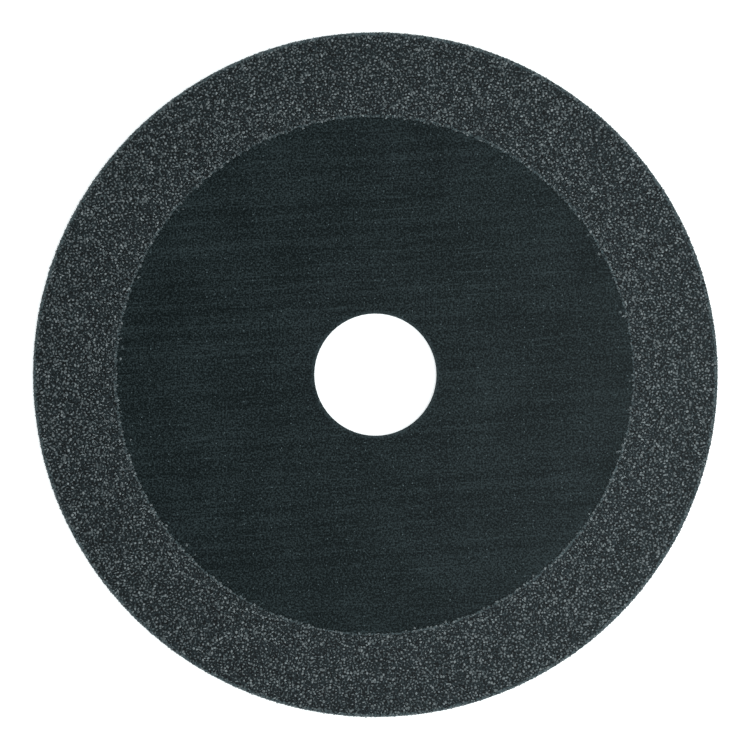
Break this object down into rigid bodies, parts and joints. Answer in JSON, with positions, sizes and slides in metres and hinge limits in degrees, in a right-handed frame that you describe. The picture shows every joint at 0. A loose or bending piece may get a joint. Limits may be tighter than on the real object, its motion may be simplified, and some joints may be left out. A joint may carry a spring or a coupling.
{
  "type": "diamond cutting disc",
  "caption": "Thin flat cutting disc: a round steel core with a plain centre bore and a wide outer band of bonded diamond grit that wraps over the faces and the rim.",
  "frame": {"origin": "centre of the bore at half the thickness of the steel core", "axes": "+Z along the spindle axis, out of either face; the disc is round and alike on both faces, so X and Y are free"},
  "size_m": [0.125, 0.125, 0.002],
  "materials": {
    "steel_core": "matte",
    "diamond_coating": "matte"
  },
  "bodies": {
    "root": {"steel_core": "steel_core", "diamond_coating": "diamond_coating"}
  },
  "joints": []
}
